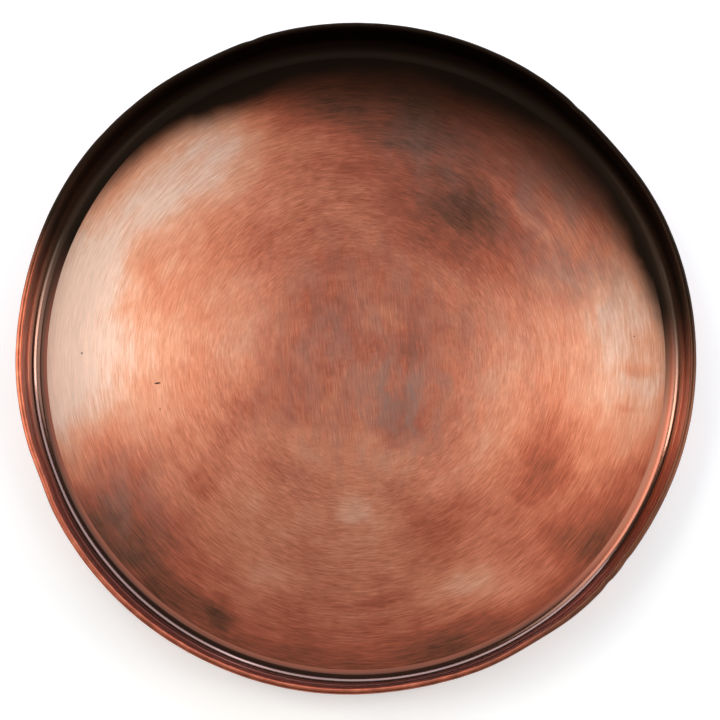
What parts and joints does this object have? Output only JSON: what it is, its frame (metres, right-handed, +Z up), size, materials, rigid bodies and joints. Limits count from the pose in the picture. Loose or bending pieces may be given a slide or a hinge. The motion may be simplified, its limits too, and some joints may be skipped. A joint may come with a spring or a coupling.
{
  "type": "tray",
  "caption": "Round shallow copper serving tray with a flat floor, a low upright wall and a rim rolled outwards round a steel wire.",
  "frame": {"origin": "centre of the underside, on the surface the tray stands on", "axes": "+Z up along the tray's axis; the tray looks the same from every side, and the butt joint of the hidden rim wire lies 5 degrees past -X towards -Y"},
  "size_m": [0.45, 0.45, 0.029],
  "materials": {
    "copper_sheet": "satin, brushed in rings, dark brown patina in the corner",
    "steel_wire": "dull drawn wire"
  },
  "bodies": {
    "root": {"tray_pan": "copper_sheet", "rim_wire": "steel_wire"}
  },
  "joints": []
}
